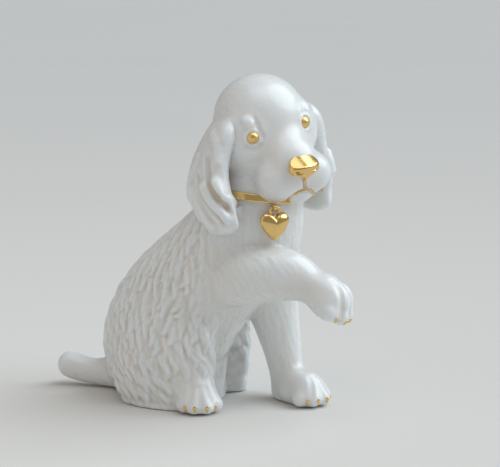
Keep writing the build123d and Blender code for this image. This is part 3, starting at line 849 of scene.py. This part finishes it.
def tube(path, radius, sides=10):
    """Points and faces of a thin line with tapered ends along a path."""
    path = np.asarray(path)
    ahead = np.gradient(path, axis=0)
    ahead /= np.linalg.norm(ahead, axis=1)[:, None]
    up = np.cross(ahead, np.cross(np.array(VIEW_BACK), ahead))
    up /= np.linalg.norm(up, axis=1)[:, None]
    across = np.cross(ahead, up)
    points, faces = [], []
    count = len(path)
    for k in range(count):
        share = k / (count - 1)
        thick = radius * (0.25 + 0.75 * min(1.0, 6.0 * share, 6.0 * (1.0 - share)))
        for n in range(sides):
            a = 2 * math.pi * n / sides
            points.append(path[k] + thick * (math.cos(a) * across[k] + math.sin(a) * up[k]))
    for k in range(count - 1):
        for n in range(sides):
            m = (n + 1) % sides
            faces.append((k * sides + n, k * sides + m, (k + 1) * sides + m, (k + 1) * sides + n))
    faces.append(tuple(range(sides))[::-1])
    faces.append(tuple((count - 1) * sides + n for n in range(sides)))
    return points, faces


NOSE = FACE @ Matrix.Translation((-0.6, -21.7, -6.8))
NOSE_TABLE = ((0.0, 0.4, 1.1), (0.16, 0.8, 1.5), (0.28, 1.5, 1.9), (0.38, 2.9, 2.2), (0.5, 4.1, 2.5),
              (0.64, 4.6, 2.7), (0.82, 4.65, 2.8), (0.94, 4.45, 2.75), (1.0, 4.2, 2.6))
NOSE_FOOT, NOSE_BACK, NOSE_TOP_SHARE = -3.4, 2.2, 0.72


def shaped_nose():
    """A puppy's nose: a flat top that slopes back, nostrils, and a wedge that narrows down to the lip."""
    ball = ball_of_clay(26)
    x, y, z = ball.points.T
    ring = np.hypot(x, y)
    angle = np.arctan2(-y, x)
    edge_ring = math.sqrt(1.0 - NOSE_TOP_SHARE ** 2)
    share = np.clip((z + 1.0) / (NOSE_TOP_SHARE + 1.0), 0.0, 1.0)
    shares, widths, fronts = np.array(NOSE_TABLE).T
    wide, front = np.interp(share, shares, widths), np.interp(share, shares, fronts)
    across = np.cos(angle) * wide
    ahead = np.where(np.sin(angle) > 0, front, NOSE_BACK) * np.sin(angle)
    cap = np.where(z > NOSE_TOP_SHARE, ring / edge_ring, 1.0)
    across, ahead = across * cap, ahead * cap
    ahead[ring < 1e-6] = 0.0
    top = 1.4 + (2.6 - ahead) * 0.42 - 0.045 * across ** 2
    ball.points = np.stack((across, -ahead, NOSE_FOOT + (top - NOSE_FOOT) * share), axis=1)
    ball.soften(np.full(len(ball.points), 0.5), 2)
    for side in (-1, 1):
        nostril = ((side * 1.4, -2.6, -1.1), (side * 2.6, -2.4, -0.6), (side * 3.9, -1.5, 0.0))
        ball.line(nostril, 0.9, -0.85, 0.2)
    ball.line(((0.0, -2.7, 0.6), (0.0, -2.6, -1.5), (0.0, -2.0, -4.0)), 0.5, -0.22, 0.2)
    ball.points = moved(NOSE, ball.points)
    return ball


HEART_CENTRE, HEART_FRONT, HEART_BACK = -1.3, 1.9, 1.2
HEART_LOBE_SPREAD, HEART_LOBE_RADIUS, HEART_TIP = 2.05, 2.2, -5.6
PENDANT = Matrix.Translation((-10.6171, -32.3096, 57.4712)) @ Matrix.Rotation(math.radians(-42.0), 4, "Z")
HEART_DROP = 3.4


def heart_reach(angle):
    """How far the heart's outline is from its middle, at each angle in its plane."""
    reach = np.zeros(len(angle))
    for r in np.linspace(0.2, 7.0, 200):
        x, y = np.abs(r * np.cos(angle)), HEART_CENTRE + r * np.sin(angle)
        lobe = np.hypot(x - HEART_LOBE_SPREAD, y) < HEART_LOBE_RADIUS
        fall = np.clip((y + 0.4) / (HEART_TIP + 0.4), 0.0, None)
        slope = ((x / 4.2) ** 1.3 + fall ** 1.3 < 1.0) & (y < 0.0)
        reach = np.where(lobe | slope, r, reach)
    return reach


def shaped_heart():
    """A puffed heart, full in the middle and rounded at its rim."""
    ball = ball_of_clay(30)
    x, depth, y = ball.points.T
    ring, angle = np.hypot(x, y), np.arctan2(y, x)
    reach = heart_reach(angle) * ring
    puff = depth * np.where(depth < 0, HEART_FRONT, HEART_BACK)
    ball.points = np.stack((reach * np.cos(angle), puff, HEART_CENTRE + reach * np.sin(angle)), axis=1)
    ball.soften(np.full(len(ball.points), 0.5), 5)
    ball.points = moved(PENDANT @ Matrix.Translation((0.0, 0.0, -HEART_DROP)), ball.points)
    return ball


EYE_PIXELS = {-1: (253, 138), 1: (306, 122)}
EYE_RADIUS, EYE_DEPTH = 1.75, 1.0
SOCKET_REACH, SOCKET_DEPTH = 3.8, 0.4
LID_RADIUS, LID_HALF_WIDTH, LID_HEIGHT = 2.1, 0.8, 0.28


def eye_seat(clay, side):
    """Where an eye sits on the skin, and the way it looks."""
    spot = seen(clay.skin(), EYE_PIXELS[side])[0]
    near = np.linalg.norm(clay.points - spot, axis=1) < 3.0
    aim = clay.normals()[near].mean(axis=0)
    return spot, aim / np.linalg.norm(aim)


def sculpt_lids(clay, seats):
    """Soft sockets and lids around the eyes."""
    for spot, aim in seats:
        clay.swell(spot, SOCKET_REACH, -SOCKET_DEPTH)
        across = np.cross(aim, (0.0, 0.0, 1.0))
        across /= np.linalg.norm(across)
        up = np.cross(across, aim)
        ring = [spot + LID_RADIUS * (math.cos(a) * across + math.sin(a) * up)
                for a in np.linspace(0.0, 2 * math.pi, 25)]
        clay.line(onto(clay.skin(), ring), LID_HALF_WIDTH, LID_HEIGHT, 0.0)


def shaped_eye(seat):
    """A domed eye with a faint painted rim."""
    spot, aim = seat
    ball = ball_of_clay(16)
    turn = Vector(aim).to_track_quat("-Y", "Z").to_matrix().to_4x4()
    front = np.clip(-ball.points[:, 1], 0.0, 1.0)
    rim = np.exp(-((front - 0.62) / 0.06) ** 2)
    ball.points = ball.points * (EYE_RADIUS * (1.0 + 0.03 * rim))[:, None]
    ball.points = moved(Matrix.Translation(Vector(spot - EYE_DEPTH * aim)) @ turn, ball.points)
    return ball


def gild(name, made, node, slot, finish, body="figure"):
    """A gilded piece from worked clay, in place of its CAD node."""
    piece = piece_from(name, made.points, made.quads, body, slot, finish)
    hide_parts(node)
    return piece


COLLAR_NARROWING, COLLAR_GRAIN, COLLAR_ROUNDING = 0.25, 0.2, 6
CLAW_HALF_WIDTH, CLAW_HALF_LENGTH, CLAW_HALF_THICK = 0.5, 0.95, 0.36
LIP_PROUD, LIP_RADIUS = 0.12, 0.3


def shaped_claws(skin, node):
    """Small almond claws that lie on the toes, where the CAD claws are."""
    all_points, all_quads, first = [], [], 0
    for middle in claw_middles(node):
        spot, normal = [np.array(v) for v in skin.find_nearest(Vector(middle))[:2]]
        down = np.array((0.0, 0.0, -1.0)) - normal * -normal[2]
        down /= max(np.linalg.norm(down), 1e-6)
        across = np.cross(normal, down)
        ball = ball_of_clay(7)
        x, y, z = ball.points.T
        taper = CLAW_HALF_WIDTH * (1.0 - 0.4 * y)
        shaped = (spot + (x * taper)[:, None] * across + (CLAW_HALF_LENGTH * y)[:, None] * down
                  + (CLAW_HALF_THICK * z)[:, None] * normal)
        all_points.append(shaped)
        all_quads.append(ball.quads + first)
        first += len(shaped)
    return Clay(np.vstack(all_points), np.vstack(all_quads))


def lip_lines(skin, mouth, far_lip):
    """The painted line under the nose and along the lips, laid in the sculpted groove."""
    paths = [mouth[2][::3], mouth[0][::3], np.vstack((mouth[1][:-1:3], far_lip[::3]))]
    points, faces, first = [], [], 0
    for path in paths:
        tube_points, tube_faces = tube(proud(skin, curve_through(path, 40), LIP_PROUD), LIP_RADIUS)
        points += tube_points
        faces += [tuple(k + first for k in face) for face in tube_faces]
        first += len(tube_points)
    return points, faces


camera()
stage_and_light()
porcelain = porcelain_finish()
gold = gold_finish("burnished_gold", BRIGHT_ROUGHNESS)
dull_gold = gold_finish("dull_gold", DULL_ROUGHNESS)
deselect()
vent_plug()
clay = clay_of(CAST_NODES + ("luting_slip",), CLAY_GRAIN)
owner = nearest_cast(clay)
shape_forms(clay, owner)
broaden_face(clay)
eyes = [eye_seat(clay, side) for side in (-1, 1)]
sculpt_lids(clay, eyes)
sculpt_ears(clay)
mouth, far_lip = sculpt_face(clay)
sculpt_feet(clay)
comb_coat(clay, owner)
clay.soften(np.full(len(clay.points), 0.5), 2)
skin = clay.skin()
cut_pieces(clay, owner, porcelain)
gild("gilded_nose", shaped_nose(), "nose_gilding", "gilding", gold)
gild("gilded_right_eye", shaped_eye(eyes[0]), "right_eye", "gilding", dull_gold)
gild("gilded_left_eye", shaped_eye(eyes[1]), "left_eye", "gilding", dull_gold)
gild("heart", shaped_heart(), "heart_pendant", "pendant_metal", gold, "pendant")
for node in CLAW_NODES:
    gild("gilded_" + node, shaped_claws(skin, node), node, "gilding", gold)
lips = piece_from("gilded_lip_line", *lip_lines(skin, mouth, far_lip), "figure", "gilding", gold)
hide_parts("lip_line")
deselect()
collar = clay_of(("collar",), COLLAR_GRAIN)
collar.soften(np.full(len(collar.points), 0.5), COLLAR_ROUNDING)
height = collar.points @ np.array((0.0, COLLAR_SLOPE, 1.0))
collar.points[:, 2] -= COLLAR_NARROWING * (height - height.mean())
gild("gilded_collar", collar, "collar", "gilding", gold)
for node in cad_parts.values():
    if not node.hide_render:
        node.data.materials.clear()
        node.data.materials.append(gold)
